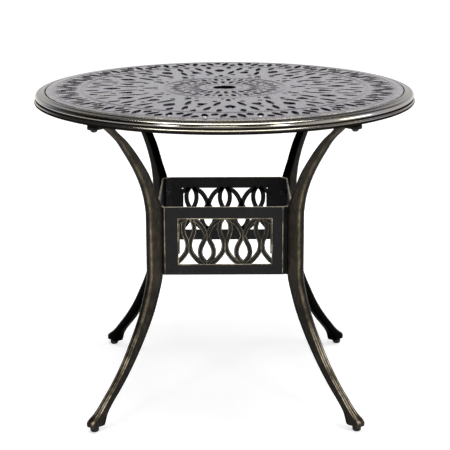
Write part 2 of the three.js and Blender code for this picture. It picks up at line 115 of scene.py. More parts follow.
class Shape:
    """Points and faces gathered for one piece, in millimetres, with a number per point for wash and painted
    light.

    It is 0 where the coat is plain. The wash thickens and pales as it rises to 1 and past it, and some of
    these pale marks are painted highlights. Below 0 the coat gets darker and duller as painted shade.
    """

    def __init__(self):
        self.points, self.faces, self.worn, self.count = [], [], [], 0

    def add(self, points, faces, worn=0.0):
        """Takes points of any grid shape, faces counted from the first of them, and their wash and painted
        light.
        """
        points = np.asarray(points, float).reshape(-1, 3)
        self.points.append(points)
        worn = np.asarray(worn, float)
        self.worn.append(np.broadcast_to(worn, worn.shape or (len(points),)).ravel())
        self.faces.extend((np.asarray(face) + self.count).tolist() for face in faces)
        self.count += len(points)

    def piece(self, name, body, material, *nodes, slot="cast_bronze", sharp=35):
        """Makes the object, turns its faces outwards, and puts it in the place of its CAD nodes."""
        mesh = bpy.data.meshes.new(name)
        mesh.from_pydata(np.concatenate(self.points) * millimetre, [], self.faces)
        worn = mesh.attributes.new("worn", "FLOAT", "POINT")
        worn.data.foreach_set("value", np.concatenate(self.worn).astype(np.float32))
        work = bmesh.new()
        work.from_mesh(mesh)
        bmesh.ops.remove_doubles(work, verts=work.verts, dist=0.01 * millimetre)
        bmesh.ops.recalc_face_normals(work, faces=work.faces)
        work.to_mesh(mesh)
        work.free()
        mesh.shade_smooth()
        mesh.set_sharp_from_angle(angle=math.radians(sharp))
        mesh.materials.append(material)
        made = bpy.data.objects.new(name, mesh)
        bpy.context.scene.collection.objects.link(made)
        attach(made, body)
        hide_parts(*nodes)
        return made


def turned(profile, steps, centre=(0.0, 0.0)):
    """A profile of [radius, height] pairs carried round an upright axis: centre + radius * (cos, sin)."""
    profile = np.asarray(profile, float)
    angle = np.linspace(0, 2 * np.pi, steps, endpoint=False)[:, None]
    x = centre[0] + profile[:, 0] * np.cos(angle)
    y = centre[1] + profile[:, 0] * np.sin(angle)
    z = np.broadcast_to(profile[:, 1], x.shape)
    return np.stack([x, y, z], axis=-1)


def arc(centre, radius, start, end, count):
    """Points on a circle between two angles in degrees."""
    angle = np.radians(np.linspace(start, end, count))
    points = [centre[0] + radius * np.cos(angle), centre[1] + radius * np.sin(angle)]
    return np.stack(points, axis=-1).tolist()


def at_corner(reach, turn):
    """The point at a distance from the upright axis, in a direction given in degrees."""
    return reach * np.array([math.cos(math.radians(turn)), math.sin(math.radians(turn))])


# Moulded polyethylene: a dull sheen. Its fine grain is drawn about 1 mm coarse, so that it shows
glide_plastic, output = new_material("moulded black polyethylene")
grain_place = add_node(glide_plastic, "ShaderNodeTexCoord")
grain = add_node(glide_plastic, "ShaderNodeTexNoise", {"Scale": 900, "Detail": 2},
                 {"Vector": grain_place.outputs["Object"]})
grain_bump = add_node(glide_plastic, "ShaderNodeBump", {"Strength": 0.3, "Distance": 0.0003},
                      {"Height": grain.outputs[0]})
grain_colour = add_node(glide_plastic, "ShaderNodeMix",
                        {"data_type": "RGBA", 6: linear("0c0c0d"), 7: linear("161718")},
                        {0: grain.outputs[0]})
shader = add_node(glide_plastic, "ShaderNodeBsdfPrincipled",
                  {"Roughness": 0.42, "IOR": 1.5, "Specular IOR Level": 0.2},
                  {"Base Color": grain_colour.outputs[2], "Normal": grain_bump.outputs[0]})
glide_plastic.node_tree.links.new(shader.outputs[0], output.inputs[0])

corners = {"front_left": -135, "front_right": -45, "back_right": 45, "back_left": 135}
foot_reach = 427.0
glide_steps = 48
glide_profile = [[0, 0.3], [4.6, 0.3], [5.2, 0], *arc((4.6, 5.7), 5.7, -80, 0, 12), [10.3, 9.6],
                 *arc((8.8, 10.4), 1.5, 0, 90, 6), [7.3, 11.9], [7.3, 9.0], [4.4, 9.0], [4.4, 3.8], [0, 3.8]]
for corner, turn in corners.items():
    glide = Shape()
    disc = turned(glide_profile, glide_steps, at_corner(foot_reach, turn))
    glide.add(disc, grid_faces(glide_steps, disc.shape[1], close_rows=True))
    glide.piece(f"glide_disc_{corner}", f"glide_{corner}", glide_plastic, f"glide_base_{corner}",
                slot="black_plastic")


# LEGS
# Four gravity-cast aluminium legs: a half-round outer face over a flat-sided web, swept out to a spade foot.
# Five fine reeds run down the outer face, and a flat tongue at the top takes the bolt into the rim.
def smooth_through(keys, at):
    """A curve through rows of [place, values]: cubic between neighbours, each slope from both sides."""
    keys = np.asarray(keys, float)
    place, values = keys[:, 0], keys[:, 1:]
    slope = np.gradient(values, place, axis=0)
    i = np.clip(np.searchsorted(place, at) - 1, 0, len(place) - 2)
    step = (place[i + 1] - place[i])[:, None]
    t = (at - place[i])[:, None] / step
    start = (2 * t ** 3 - 3 * t ** 2 + 1) * values[i] + (t ** 3 - 2 * t ** 2 + t) * step * slope[i]
    end = (3 * t ** 2 - 2 * t ** 3) * values[i + 1] + (t ** 3 - t ** 2) * step * slope[i + 1]
    return start + end


def ease(start, end, value):
    """Rises smoothly from 0 at start to 1 at end, as 3 s^2 - 2 s^3 of the share s of the way."""
    share = np.clip((value - start) / (end - start), 0, 1)
    return share * share * (3 - 2 * share)


# Antique bronze: a near-black satin powder coat over cast aluminium, with a pale golden wash brushed on
def antique_bronze(name, dark, brown, gold, pale, roughness, sheen=0.3, coat=0.0):
    """A cast and coated metal: cloudy brown over dark, under a gold wash that pales as its number rises to 1.

    Clouds are about 33 mm wide, brush marks 4 mm by 18 mm, and the cast grain is drawn 1 mm coarse to show.
    The wash also serves as painted highlight, and below 0 colour and gloss sink to black as painted shade.
    """
    clouds_per_metre, marks_per_metre, grains_per_metre = 30, 260, 800
    upright_stretch = (1.0, 1.0, 0.22)
    material, output = new_material(name)
    place = add_node(material, "ShaderNodeTexCoord").outputs["Object"]
    worn = add_node(material, "ShaderNodeAttribute", {"attribute_name": "worn"}).outputs["Fac"]
    cloud = add_node(material, "ShaderNodeTexNoise",
                     {"Scale": clouds_per_metre, "Detail": 5, "Roughness": 0.6}, {"Vector": place})
    brush = add_node(material, "ShaderNodeMapping", {"Scale": upright_stretch}, {"Vector": place})
    patch = add_node(material, "ShaderNodeTexNoise",
                     {"Scale": marks_per_metre, "Detail": 4, "Roughness": 0.7},
                     {"Vector": brush.outputs[0]})
    grain = add_node(material, "ShaderNodeTexNoise", {"Scale": grains_per_metre, "Detail": 3},
                     {"Vector": place})
    cloudy = add_node(material, "ShaderNodeMapRange", {1: 0.3, 2: 0.62}, {0: cloud.outputs[0]})
    brushed = add_node(material, "ShaderNodeMapRange", {1: 0.36, 2: 0.66, 3: 0.1, 4: 1.0},
                       {0: patch.outputs[0]})
    mottle = add_node(material, "ShaderNodeMath", {"operation": "MULTIPLY"},
                      {0: cloudy.outputs[0], 1: brushed.outputs[0]})
    patchy = add_node(material, "ShaderNodeMapRange", {1: 0.3, 2: 0.6, 3: 0.45, 4: 1.0},
                      {0: patch.outputs[0]})
    drift = add_node(material, "ShaderNodeMapRange", {1: 0.38, 2: 0.58, 3: 0.3, 4: 1.0},
                     {0: cloud.outputs[0]})
    uneven = add_node(material, "ShaderNodeMath", {"operation": "MULTIPLY"},
                      {0: drift.outputs[0], 1: patchy.outputs[0]})
    wash_and_highlight = add_node(material, "ShaderNodeMath", {"operation": "MULTIPLY"}, {0: worn, 1: uneven.outputs[0]})
    wash = add_node(material, "ShaderNodeValToRGB", {}, {0: wash_and_highlight.outputs[0]})
    ramp = wash.color_ramp
    ramp.elements[0].position, ramp.elements[0].color = 0.0, (0, 0, 0, 1)
    ramp.elements[1].position, ramp.elements[1].color = 0.5, (1, 1, 1, 1)
    under = add_node(material, "ShaderNodeMix", {"data_type": "RGBA", 6: linear(dark), 7: linear(brown)},
                     {0: mottle.outputs[0]})
    tone = add_node(material, "ShaderNodeMix", {"data_type": "RGBA", 6: linear(gold), 7: linear(pale)},
                    {0: wash_and_highlight.outputs[0]})
    colour = add_node(material, "ShaderNodeMix", {"data_type": "RGBA"},
                      {0: wash.outputs[0], 6: under.outputs[2], 7: tone.outputs[2]})
    # Below 0 the colour and the gloss sink towards black: painted shade
    painted_shade_level = add_node(material, "ShaderNodeMapRange", {1: -1.0, 2: 0.0, 3: 0.03, 4: 1.0}, {0: worn})
    shown = add_node(material, "ShaderNodeMix", {"data_type": "RGBA", 6: (0, 0, 0, 1)},
                     {0: painted_shade_level.outputs[0], 7: colour.outputs[2]})
    metallic = add_node(material, "ShaderNodeMapRange", {3: 0.0, 4: 0.55}, {0: wash.outputs[0]})
    gloss = add_node(material, "ShaderNodeMapRange", {3: 0.0, 4: sheen}, {0: painted_shade_level.outputs[0]})
    dull = add_node(material, "ShaderNodeMapRange", {3: roughness - 0.05, 4: roughness + 0.09},
                    {0: patch.outputs[0]})
    bump = add_node(material, "ShaderNodeBump", {"Strength": 0.3, "Distance": 0.0004},
                    {"Height": grain.outputs[0]})
    shader = add_node(material, "ShaderNodeBsdfPrincipled",
                      {"IOR": 1.5, "Coat Weight": coat, "Coat Roughness": 0.12},
                      {"Base Color": shown.outputs[2], "Metallic": metallic.outputs[0],
                       "Specular IOR Level": gloss.outputs[0], "Roughness": dull.outputs[0],
                       "Normal": bump.outputs[0]})
    material.node_tree.links.new(shader.outputs[0], output.inputs[0])
    return material


leg_bronze = antique_bronze("antique bronze coat on the legs", "100e0c", "41382a", "7d6b47", "f2e9d6",
                            roughness=0.3, sheen=0.14)

panel_bottom, panel_top = 332.7, 496.2
bolt_reach, pad_top, pad_bottom = 405.0, 712.5, 704.5
bolt_hole = 4.4
foot_bottom = 12.2

# Stations up the leg: [height, middle of the section along the diagonal, its depth, its half width]
leg_keys = [
    [12.2, 423.5, 38.0, 12.0], [17, 422.6, 42.5, 11.9], [24, 421.3, 45.2, 11.5], [38, 410.0, 35.0, 10.6],
    [52.4, 397.1, 31.3, 9.8], [67, 383.6, 31.9, 9.3], [83, 368.4, 32.7, 9.0], [115.2, 341.4, 32.8, 9.2],
    [148.8, 317.1, 33.8, 9.4], [182.5, 296.1, 36.2, 9.6], [217.7, 276.1, 37.3, 9.8],
    [251.3, 260.0, 38.8, 10.0], [278.9, 249.5, 39.6, 10.2], [306.4, 240.5, 40.3, 10.4],
    [328, 235.0, 41.0, 10.5], [335, 234.3, 41.1, 10.5], [345, 234.3, 41.1, 10.5], [417, 234.3, 41.1, 10.5],
    [480, 234.3, 41.1, 10.5], [488, 234.4, 41.2, 10.5], [497, 235.1, 42.6, 10.5], [510, 238.9, 38.9, 10.5],
    [530.8, 246.5, 33.0, 10.5], [549.9, 253.7, 31.4, 10.5], [580.5, 267.6, 31.0, 10.5],
    [610.2, 285.9, 28.4, 10.5], [640.8, 307.6, 26.2, 10.5], [670.4, 331.6, 21.8, 10.5],
    [695.8, 359.3, 21.3, 10.5], [708.5, 371, 27.6, 10.5]]
around = np.radians(np.arange(0, 360, 2.5))
height = np.concatenate([
    [foot_bottom, 12.6, 13.4, 15], np.linspace(17, 120, 34), np.linspace(124, 337, 34),
    np.linspace(345, 489, 10), np.linspace(497, 708.5, 40)])
reach, depth, half_width = smooth_through(leg_keys, height).T
nose = np.minimum(half_width, depth / 2)[:, None]
middle = (reach + depth / 2)[:, None] - nose
cosine, sine = np.cos(around), np.sin(around)


def superellipse(power):
    """How far a squared circle reaches in each direction around; power 2 is the circle itself."""
    return (np.abs(cosine) ** power + np.abs(sine) ** power) ** (-1 / power)


side_power = 8
outer_power = 2 + 2.0 * ease(50, 14, height)[:, None]
bulge = np.where(cosine >= 0, superellipse(outer_power), superellipse(side_power))
out = middle + np.where(cosine >= 0, nose, depth[:, None] - nose) * bulge * cosine
across = half_width[:, None] * bulge * sine

# Five reeds on the half-round face, deepening from beside the panels down to the foot, with grooves between
reed_count, groove_depth = 5, 0.7
outer_face = ease(0.0, 0.12, cosine) * ease(420, 250, height)[:, None] * ease(20, 45, height)[:, None]
reed = np.abs(np.cos(reed_count * around)) ** 0.6
groove = groove_depth * outer_face * (1 - reed)
out = out - groove * cosine
across = across - groove * sine

# The foot: its sole's edge is eased, and rises a little in the middle of each side
tuck = np.interp(height, [foot_bottom, 12.6, 13.4], [1, 0.35, 0])[:, None]
out = out + (foot_reach - out) * 0.05 * tuck
across = across * (1 - 0.07 * tuck)
level = height[:, None] + 1.2 * np.cos(2 * around) ** 2 * ease(19, foot_bottom, height)[:, None]

# Where the pale wash lies: both edges of the half-round face, as gold rub and painted highlight, a thin
# painted highlight at the waist, painted glints on the reeds' crests low on the leg, and the toe's edge
from_nose = np.degrees(np.arccos(np.clip(cosine, -1, 1)))
low_part = ease(360, 250, height)[:, None]
high_part = ease(480, 560, height)[:, None]
above_foot = ease(22, 36, height)[:, None]
shin = (ease(240, 170, height) * ease(24, 44, height))[:, None]
toe = (ease(22, 24.5, height) * ease(31, 27, height))[:, None]
edge_wash_and_highlight = ease(26, 54, from_nose) * ease(86, 60, from_nose)
waist_painted_highlight = ease(42, 52, from_nose) * ease(64, 54, from_nose) * ease(600, 500, height)[:, None]
leg_worn = edge_wash_and_highlight * (0.17 - 0.02 * high_part + 0.02 * low_part) * above_foot
leg_worn = leg_worn + 0.13 * waist_painted_highlight * (1 - shin)
leg_worn = leg_worn + 0.5 * shin * reed ** 9 * ease(92, 80, from_nose)
leg_worn = leg_worn + 0.5 * toe * ease(75, 55, from_nose)
leg_worn = np.clip(leg_worn + 0.12 * low_part * outer_face * reed ** 6, 0, 1)

# Painted shade: the inner side, the nose except along the shin, and the flat sides low down are painted dark
leg_worn = leg_worn - 0.75 * ease(-0.45, -0.8, cosine)
leg_worn = leg_worn - 0.6 * ease(34, 16, from_nose) * (1 - shin)
leg_worn = leg_worn - 0.35 * low_part * ease(72, 90, from_nose)

# Painted shade: the back legs stand in shade, so all of each but the nose of its outer face is painted dark
back_leg_shaded_side = ease(0.8, 0.3, cosine)
back_worn = leg_worn + (np.minimum(leg_worn, 0.1) - 0.62 - leg_worn) * back_leg_shaded_side


def round_rows(rows):
    """Rings round the foot's bore, from [radius, height] rows, as long as the leg's rings."""
    rows = np.asarray(rows, float)
    ring_out = foot_reach + rows[:, :1] * cosine
    return np.stack([ring_out, rows[:, :1] * sine, np.broadcast_to(rows[:, 1:], ring_out.shape)], axis=-1)


bore = round_rows([[0, 33.3], [bolt_hole, 33.3], [bolt_hole, 25.6], [6.8, 25.6], [6.8, 12.5],
                   [8, foot_bottom]])
sole = np.stack([foot_reach + 0.8 * (out[0] - foot_reach), 0.8 * across[0], level[0]], axis=-1)
body_rows = np.stack([out, across, level], axis=-1)
top_height, top_reach = leg_keys[-1][:2]
cap = np.broadcast_to([top_reach, 0.0, top_height], (1, len(around), 3))
leg_points = np.concatenate([bore, sole[None], body_rows, cap])
plain_below = np.zeros((len(bore) + 1, len(around)))
plain_above = np.zeros((1, len(around)))
leg_worn = np.concatenate([plain_below, leg_worn, plain_above])
back_worn = np.concatenate([plain_below, back_worn, plain_above])

# The pad: a tongue that is round at the bolt and runs back into the leg, with eased edges
pad_half, pad_run, pad_narrowing = 15, 46, 4
forward = np.abs(cosine)
side = pad_half / (np.abs(sine) + pad_narrowing / pad_run * forward)
tongue = np.where(cosine >= 0, pad_half, np.minimum(side, pad_run / np.maximum(forward, 0.01)))
pad_rows = [[1.4, pad_bottom], [0.4, pad_bottom + 0.35], [0, pad_bottom + 1.3], [0, pad_top - 1.1],
            [0.3, pad_top - 0.35], [1.1, pad_top]]
hole_ring = np.full(len(around), bolt_hole)
radii = [hole_ring, *[tongue - inset for inset, _ in pad_rows], hole_ring]
levels = [pad_bottom, *[z for _, z in pad_rows], pad_top]
pad_points = np.stack([
    np.stack([bolt_reach + radius * cosine, radius * sine, np.full(len(around), z)], axis=-1)
    for radius, z in zip(radii, levels)])


def turned_to(points, degrees):
    """The same points turned about the table's upright axis."""
    turn_cosine, turn_sine = math.cos(math.radians(degrees)), math.sin(math.radians(degrees))
    turn_matrix = np.array([[turn_cosine, turn_sine, 0], [-turn_sine, turn_cosine, 0], [0, 0, 1]])
    return np.asarray(points, float) @ turn_matrix


# The pads sit under the rim and are painted dark as shade
pad_worn = -0.6
for corner, turn in corners.items():
    leg = Shape()
    worn = leg_worn if corner.startswith("front") else back_worn
    leg.add(turned_to(leg_points, turn), grid_faces(len(leg_points), len(around), close_columns=True), worn)
    leg.add(turned_to(pad_points, turn), grid_faces(len(pad_points), len(around), True, True), pad_worn)
    leg.piece(f"cast_leg_{corner}", "table", leg_bronze, f"leg_{corner}", sharp=50)

# SIDE PANELS
# One sand-cast panel used four times: a framed window with interlaced ogee bars, and a flange at each end.
# Each bar is a shallow channel between two raised edges, which are rubbed golden, as the window's bead is.
panel_bronze = antique_bronze("antique bronze coat on the panels", "131315", "201e1c", "7c7052", "d2cab4",
                              roughness=0.38, sheen=0.13)

panel_reach = 158.0
left_bend, right_bend = -143.86, 137.79
left_tip, right_tip = (-157.65, -144.2), (151.8, -144.0)
bend_radius = 3.0
window_half, window_low, window_high = 109.0, 358.2, 468.2
window_middle, half_window = 413.2, 55.0
bar_pitch = 42.35
sheet_thickness = 4.0


def rounded_corner(before, corner, after, radius, count=6):
    """A quadratic curve that starts and ends a set distance from the corner, along its two sides."""
    before, corner, after = (np.asarray(p, float) for p in (before, corner, after))
    start = corner + (before - corner) * radius / np.linalg.norm(before - corner)
    end = corner + (after - corner) * radius / np.linalg.norm(after - corner)
    t = np.linspace(0, 1, count)[:, None]
    return (1 - t) ** 2 * start + 2 * t * (1 - t) * corner + t ** 2 * end


def carried(line, profile):
    """A profile of [sideways, outwards] pairs carried along [x, y, z] points of a line on the panel's face.

    Sideways is across the line's run in the plane of x and z, and outwards is -Y.
    """
    line, profile = np.asarray(line, float), np.asarray(profile, float)
    run = np.stack([np.gradient(line[:, 0]), np.gradient(line[:, 2])], axis=-1)
    run = run / np.linalg.norm(run, axis=1)[:, None]
    aside = np.stack([run[:, 1], np.zeros(len(run)), -run[:, 0]], axis=-1)
    outwards = np.array([0.0, -1.0, 0.0])
    return line[:, None] + aside[:, None] * profile[:, :1] + outwards * profile[:, 1:]


def along_front(points, half_round, lift):
    """A bead carried along [x, z] points on the panel's face, standing a little proud of it."""
    points = np.asarray(points, float)
    line = np.stack([points[:, 0], np.full(len(points), -panel_reach), points[:, 1]], axis=-1)
    profile = [[-half_round, -1], [-half_round, 0.3 * lift], [-0.5 * half_round, 0.85 * lift], [0, lift],
               [0.5 * half_round, 0.85 * lift], [half_round, 0.3 * lift], [half_round, -1]]
    return carried(line, profile)


# The sheet in plan, its rungs in height, and the cells between them without those of the window
plan = np.concatenate([
    [left_tip],
    rounded_corner(left_tip, (left_bend, -panel_reach), (0, -panel_reach), bend_radius),
    [[x, -panel_reach] for x in (-window_half, -60, 0, 60, window_half)],
    rounded_corner((0, -panel_reach), (right_bend, -panel_reach), right_tip, bend_radius),
    [right_tip]])
rungs = np.array([panel_bottom, 346, window_low, 395, 430, window_high, 483, panel_top - 0.5, panel_top])
sheet_shape = (len(plan), len(rungs))
sheet = np.stack([np.broadcast_to(plan[:, :1], sheet_shape), np.broadcast_to(plan[:, 1:], sheet_shape),
                  np.broadcast_to(rungs, sheet_shape)], axis=-1)
inward = np.gradient(plan, axis=0)[:, ::-1] * [-1, 1]
inward = inward / np.linalg.norm(inward, axis=1)[:, None]
# Where the sheet bends, its back is set off further, so that its thickness stays even
mitre = 1 / np.clip((inward * np.roll(inward, 1, 0)).sum(1), 0.7, 1) ** 0.5
inset = np.column_stack([inward * (mitre * sheet_thickness)[:, None], np.zeros(len(plan))])
back = sheet + inset[:, None]
cells = grid_faces(*sheet_shape)
column, rung = cells[:, 0] // len(rungs), cells[:, 0] % len(rungs)
middle_x = (plan[column, 0] + plan[column + 1, 0]) / 2
middle_z = (rungs[rung] + rungs[rung + 1]) / 2
in_window = (np.abs(middle_x) < window_half) & (middle_z > window_low) & (middle_z < window_high)
cells = cells[~in_window]


def rim_edges(faces):
    """The edges that belong to one face only, as pairs in that face's order."""
    pairs = np.stack([faces, np.roll(faces, -1, 1)], axis=-1).reshape(-1, 2)
    keys = np.sort(pairs, 1)
    _, first, number = np.unique(keys, axis=0, return_index=True, return_counts=True)
    return pairs[first[number == 1]]


sheet_count = sheet.shape[0] * sheet.shape[1]
edges = rim_edges(cells)
walls = np.stack([edges[:, 0], edges[:, 1], edges[:, 1] + sheet_count, edges[:, 0] + sheet_count], axis=-1)

# Interlaced bars: [pitches from an even column, half windows above the middle]
high_bar = [[0.12, 1.04], [0.29, 0.94], [0.5, 0.855], [0.66, 0.735], [0.816, 0.55], [0.92, 0.364],
            [0.954, 0.27], [0.839, 0.018], [0.67, -0.27], [0.623, -0.47], [0.678, -0.67], [0.816, -0.836],
            [1.0, -0.97]]
low_bar = [[1, -0.95], [0.54, -0.864], [0.31, -0.67], [0.15, -0.49], [0.057, -0.16], [0.115, 0.07],
           [0.218, 0.25], [0.287, 0.436], [0.3, 0.62], [0.264, 0.8], [0.19, 0.93], [0.1, 1.04]]
bar_half = [[5.7, -4.9], [5.7, -1.2], [5.3, -0.5], [4.6, 0.1], [3.9, 0.5], [3.3, 0.1], [2.7, -0.7],
            [1.4, -1.1]]
bar_profile = np.array([[-a, b] for a, b in bar_half] + [[0, -1.2]] + bar_half[::-1])
bar_worn = 0.62 * ease(-0.1, 0.5, bar_profile[:, 1])
bar_samples = 72
bar_overlap = 2.6


def bar(keys, column, side, set_back):
    """One ogee bar: its profile carried along a smooth line through the keys, and cut in the window's frame.

    A bar set back passes behind the one that it crosses. Where a bar overlaps the frame it is pushed in by
    1.5 times the overlap, so that it stays behind the face.
    """
    keys = np.asarray(keys, float)
    reach_along = np.concatenate([[0], np.cumsum(np.linalg.norm(np.diff(keys, axis=0), axis=1))])
    line = smooth_through(np.column_stack([reach_along, keys]), np.linspace(0, reach_along[-1], bar_samples))
    x = (column + side * line[:, 0]) * bar_pitch
    z = window_middle + line[:, 1] * half_window
    inside = np.abs(x) < window_half + bar_overlap
    x, z = x[inside], z[inside]
    points = carried(np.stack([x, np.full(len(x), set_back - panel_reach), z], axis=-1), bar_profile)
    above = np.abs(points[..., 2] - window_middle) - half_window
    beyond = np.clip(np.maximum(above, np.abs(points[..., 0]) - window_half), 0, 2)
    points[..., 1] = np.minimum(points[..., 1] + 1.5 * beyond, 4.9 - panel_reach)
    return points


bars = [bar(keys, column, side, set_back) for column in (-2, 0, 2) for side in (-1, 1)
        for keys, set_back in ((high_bar, 0.0), (low_bar, 0.25))]

# A fine bead frames the window and is rubbed golden. One runs up beside each bend, painted pale as the
# bend's highlight
bead_offset, bead_corner, side_middle = 0.4, 1.5, 400
left_edge, right_edge = -window_half - bead_offset, window_half + bead_offset
low_edge, high_edge = window_low - bead_offset, window_high + bead_offset
window_line = np.concatenate([
    rounded_corner((0, low_edge), (right_edge, low_edge), (right_edge, side_middle), bead_corner, 4),
    rounded_corner((right_edge, side_middle), (right_edge, high_edge), (0, high_edge), bead_corner, 4),
    rounded_corner((0, high_edge), (left_edge, high_edge), (left_edge, side_middle), bead_corner, 4),
    rounded_corner((left_edge, side_middle), (left_edge, low_edge), (0, low_edge), bead_corner, 4),
    [[-40, low_edge], [40, low_edge]]])
window_bead = along_front(np.concatenate([window_line, window_line[:2]]), half_round=0.9, lift=0.6)
bead_heights = np.linspace(panel_bottom + 1, panel_top - 1, 9)
bend_beads = [along_front(np.column_stack([np.full(9, x), bead_heights]), half_round=0.6, lift=0.4)
              for x in (left_bend + 3.2, right_bend - 3.2)]


def closed_faces(rows, columns):
    """The faces of a carried profile, with one face at each end."""
    ends = [list(range(columns)), list(range((rows - 1) * columns, rows * columns))]
    return [*grid_faces(rows, columns, close_columns=True), *ends]


# The top edge of the sheet is painted pale as a highlight
top_edge_worn, bead_worn = 1.8, 0.7
for name, turn in (("front", 0), ("right", 90), ("back", 180), ("left", 270)):
    panel = Shape()
    both = np.concatenate([sheet.reshape(-1, 3), back.reshape(-1, 3)])
    sheet_worn = np.where(both[:, 2] == panel_top, top_edge_worn, 0.0)
    panel.add(turned_to(both, turn), [*cells, *(cells[:, ::-1] + sheet_count), *walls], sheet_worn)
    for one in bars:
        worn = np.broadcast_to(bar_worn, one.shape[:2])
        panel.add(turned_to(one, turn), closed_faces(*one.shape[:2]), worn)
    for one in [*bend_beads, window_bead]:
        panel.add(turned_to(one, turn), closed_faces(*one.shape[:2]), bead_worn)
    panel.piece(f"ogee_panel_{name}", "table", panel_bronze, f"panel_{name}")

# TOP RIM
# One moulded ring, cast and then turned and buffed: a lip, a cove, a large roll, a bead and an inner ledge.
# Its lacquer is thin bronze over bright metal: the roll and the bead mirror the room. The rest, the coves
# above all, is painted near-black metal as shade.
# Four lugs under it take the bolts of the legs.
rim_material, output = new_material("bronze lacquer on the rim with painted cove shade")
place = add_node(rim_material, "ShaderNodeTexCoord").outputs["Object"]
cloud = add_node(rim_material, "ShaderNodeTexNoise", {"Scale": 9, "Detail": 4, "Roughness": 0.55},
                 {"Vector": place})
fine = add_node(rim_material, "ShaderNodeTexNoise", {"Scale": 420, "Detail": 3}, {"Vector": place})
cloudy = add_node(rim_material, "ShaderNodeMapRange", {1: 0.38, 2: 0.66}, {0: cloud.outputs[0]})
buffed = add_node(rim_material, "ShaderNodeMix",
                  {"data_type": "RGBA", 6: linear("9a989a"), 7: linear("a39b88")}, {0: cloudy.outputs[0]})
worn = add_node(rim_material, "ShaderNodeAttribute", {"attribute_name": "worn"}).outputs["Fac"]
tint = add_node(rim_material, "ShaderNodeMix", {"data_type": "RGBA", 6: linear("1c1a18")},
                {0: worn, 7: buffed.outputs[2]})
buffing = add_node(rim_material, "ShaderNodeMapRange", {3: 0.1, 4: 0.2}, {0: fine.outputs[0]})
dull = add_node(rim_material, "ShaderNodeMix", {2: 0.7}, {0: worn, 3: buffing.outputs[0]})
bump = add_node(rim_material, "ShaderNodeBump", {"Strength": 0.08, "Distance": 0.0003},
                {"Height": fine.outputs[0]})
cove_shade_tint = add_node(rim_material, "ShaderNodeMix",
                     {"data_type": "RGBA", 6: (0.05, 0.05, 0.05, 1), 7: (1, 1, 1, 1)}, {0: worn})
shader = add_node(rim_material, "ShaderNodeBsdfPrincipled", {"Metallic": 1.0},
                  {"Base Color": tint.outputs[2], "Roughness": dull.outputs[0], "Normal": bump.outputs[0],
                   "Specular Tint": cove_shade_tint.outputs[2]})
rim_material.node_tree.links.new(shader.outputs[0], output.inputs[0])

rim_profile = [
    [403.6, 743.7], [403, 743.1], [403, 737.3], [403.6, 736.7], [424, 736.7], [426.5, 735.2], [433, 727.5],
    [438.4, 721.4], *arc((440.2, 722.2), 1.2, -150, -60, 5), [443.5, 722.2],
    *arc((445.5, 727.4), 4.5, -70, 52, 14), [447.3, 731.6], [446.9, 732.4],
    *arc((439.2, 738.3), 8.3, -30, 72, 18), [440.0, 746.5], [437, 746.9], [434, 747.4], [431.4, 748.2],
    *arc((428.9, 748.6), 0.8, 20, 90, 4), [426.2, 749.4], *arc((425.7, 748.7), 0.7, 90, 180, 4),
    [425, 744.4], [425, 743.7]]
rim_steps, lug_steps = 300, 40
outside_ledge = 425.2
rim_radii, rim_heights = np.array(rim_profile).T
# The roll's and the bead's bright bands are set at the heights where the reflections fall, as painted
# reflection; everywhere else the rim is painted dark as shade
roll_shine = ease(736.6, 738.6, rim_heights) * (1 - 0.15 * ease(743.6, 745.4, rim_heights))
bead_shine = ease(728.4, 730.2, rim_heights) * ease(732.6, 731.4, rim_heights)
rim_worn = (roll_shine + bead_shine) * (rim_radii > outside_ledge)
rim = Shape()
ring = turned(rim_profile, rim_steps)
rim.add(ring, grid_faces(rim_steps, ring.shape[1], True, True), np.broadcast_to(rim_worn, ring.shape[:2]))
lug_profile = [[bolt_hole, 712.8], [13.2, 712.8], *arc((13.2, 713.6), 0.8, -90, 0, 4), [14, 738],
               [bolt_hole, 738]]
for turn in corners.values():
    lug = turned(lug_profile, lug_steps, at_corner(bolt_reach, turn))
    rim.add(lug, grid_faces(lug_steps, lug.shape[1], True, True))
rim.piece("moulded_rim", "table", rim_material, "top_rim", slot="rim_bronze", sharp=28)

# TOP LATTICE
# One openwork casting inside the rim. Each opening has a low rounded lip, and raised rings part the zones.
# The satin coat is warm grey clouded over violet grey. A thin paler line runs along the lips and rings.
# The walls of the openings and of the hole are painted nearly black as shade, and painted dark lines of
# shade run round the lips and in the rings' grooves.
top_bronze = antique_bronze("antique bronze coat on the lattice", "434150", "5a5354", "9a9184", "d8d4cc",
                            roughness=0.26, sheen=0.45, coat=0.3)

web, underside = 750.35, 744.0
disc_radius, boss_radius, hole_radius = 422.4, 35, 28.0
petals, motifs, band_units = 24, 12, 30
half_petal, half_motif, half_unit = math.pi / petals, math.pi / motifs, math.pi / band_units


def polar(radius, angle):
    """Points from radii in millimetres and angles in radians."""
    return np.stack([radius * np.cos(angle), radius * np.sin(angle)], axis=-1)


def eased(corners_of, shares, steps=6):
    """A closed outline whose corners are each replaced by a quadratic curve over a share of both sides."""
    corners_of = np.asarray(corners_of, float)
    shares = np.asarray(shares, float)[:, None, None]
    before = np.roll(corners_of, 1, 0)[:, None]
    after = np.roll(corners_of, -1, 0)[:, None]
    middle = corners_of[:, None]
    start = middle + (before - middle) * shares
    end = middle + (after - middle) * shares
    t = np.linspace(0, 1, steps)[None, :, None]
    return ((1 - t) ** 2 * start + 2 * t * (1 - t) * middle + t ** 2 * end).reshape(-1, 2)


def leaf(inner, outer, width, widest=0.5):
    """An opening with two tips, each [radius, angle], and full sides, widest at a share of its length."""
    a, b = polar(*inner), polar(*outer)
    length = b - a
    middle = a + length * widest
    side = np.array([-length[1], length[0]]) / np.linalg.norm(length) * width * 0.62
    return eased([a, middle - side, b, middle + side], [0.22, 0.5, 0.22, 0.5])


